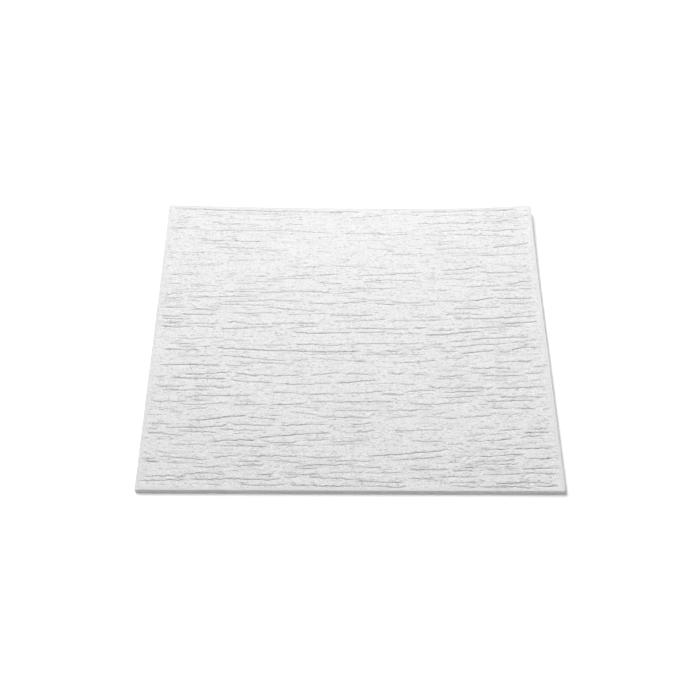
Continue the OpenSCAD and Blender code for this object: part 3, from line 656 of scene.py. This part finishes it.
paper = bpy.data.materials.new("matt_white_paper")
paper.use_nodes = True
paper_tree = paper.node_tree
paper_tree.nodes.clear()
on_paper = node(paper_tree, "ShaderNodeTexCoord")
distance = node(paper_tree, "ShaderNodeVectorMath", {0: on_paper.outputs["Object"]}, operation="LENGTH")
glow = node(paper_tree, "ShaderNodeMapRange", {
    "Value": distance.outputs["Value"], "From Min": GLOW_FROM, "From Max": GLOW_TO,
    "To Min": GLOW_BESIDE, "To Max": GLOW_FAR}, interpolation_type="SMOOTHSTEP")
paper_shader = node(paper_tree, "ShaderNodeBsdfPrincipled", {
    "Base Color": linear("#FAFAF9"), "Roughness": 0.95, "Specular IOR Level": 0.1,
    "Emission Color": (1, 1, 1, 1), "Emission Strength": glow})
node(paper_tree, "ShaderNodeOutputMaterial", {"Surface": paper_shader})
corners = [(FLOOR_HALF * x, FLOOR_HALF * y, 0) for x, y in ((-1, -1), (1, -1), (1, 1), (-1, 1))]
floor_mesh = bpy.data.meshes.new("floor")
floor_mesh.from_pydata(corners, [], [(0, 1, 2, 3)])
floor_mesh.materials.append(paper)
floor = bpy.data.objects.new("floor", floor_mesh)
bpy.context.scene.collection.objects.link(floor)
print(f"The paper is {2 * FLOOR_HALF:.0f} m wide.")

# %% [markdown]
# One large soft light stands behind the tile, to the left and high up, so the far end of the
# tile is the brighter one, each furrow's far wall is in shade and the front side is dark. It
# is tilted to the right, to light the tile evenly from side to side. The room overhead is dim.
# Its walls are white and show only in a low view. The wall behind the camera is left dim as
# well, because it would light the front side, which is dark in the photograph.

# %% The light and the room
KEY_PLACE = Vector((-0.8, 1.5, 2.7))
KEY_AIM = Vector((8.0, 0.1, 0.5))
KEY_SIZE = 3.8
KEY_POWER = 228
key_data = bpy.data.lights.new("key", "AREA")
key_data.shape = "DISK"
key_data.size = KEY_SIZE
key_data.energy = KEY_POWER
key = bpy.data.objects.new("key", key_data)
key.location = KEY_PLACE
key.rotation_mode = "QUATERNION"
key.rotation_quaternion = (KEY_PLACE - KEY_AIM).to_track_quat("Z", "Y")
bpy.context.scene.collection.objects.link(key)

ROOM_DIM, ROOM_WALL = 0.05, 0.95
WALL_FADE = (0.18, 0.25)
FRONT_FADE = (-0.7, 0)
world = bpy.data.worlds.new("studio")
world.use_nodes = True
room = world.node_tree
room.nodes.clear()
direction = node(room, "ShaderNodeTexCoord").outputs["Generated"]
towards = node(room, "ShaderNodeSeparateXYZ", {0: direction}).outputs
not_in_front = node(room, "ShaderNodeMapRange", {
    "Value": towards["Y"], "From Min": FRONT_FADE[0], "From Max": FRONT_FADE[1]})
low = node(room, "ShaderNodeMapRange", {
    "Value": towards["Z"], "From Min": WALL_FADE[0], "From Max": WALL_FADE[1], "To Min": 1, "To Max": 0})
wall = node(room, "ShaderNodeMath", {0: not_in_front, 1: low}, operation="MULTIPLY")
strength = node(room, "ShaderNodeMapRange", {"Value": wall, "To Min": ROOM_DIM, "To Max": ROOM_WALL})
room_light = node(room, "ShaderNodeBackground", {"Color": (1, 1, 1, 1), "Strength": strength})
node(room, "ShaderNodeOutputWorld", {"Surface": room_light})
bpy.context.scene.world = world
bpy.context.scene.view_settings.view_transform = "Standard"
print(f"The key light gives {KEY_POWER} W from {KEY_PLACE.length:.1f} m away.")
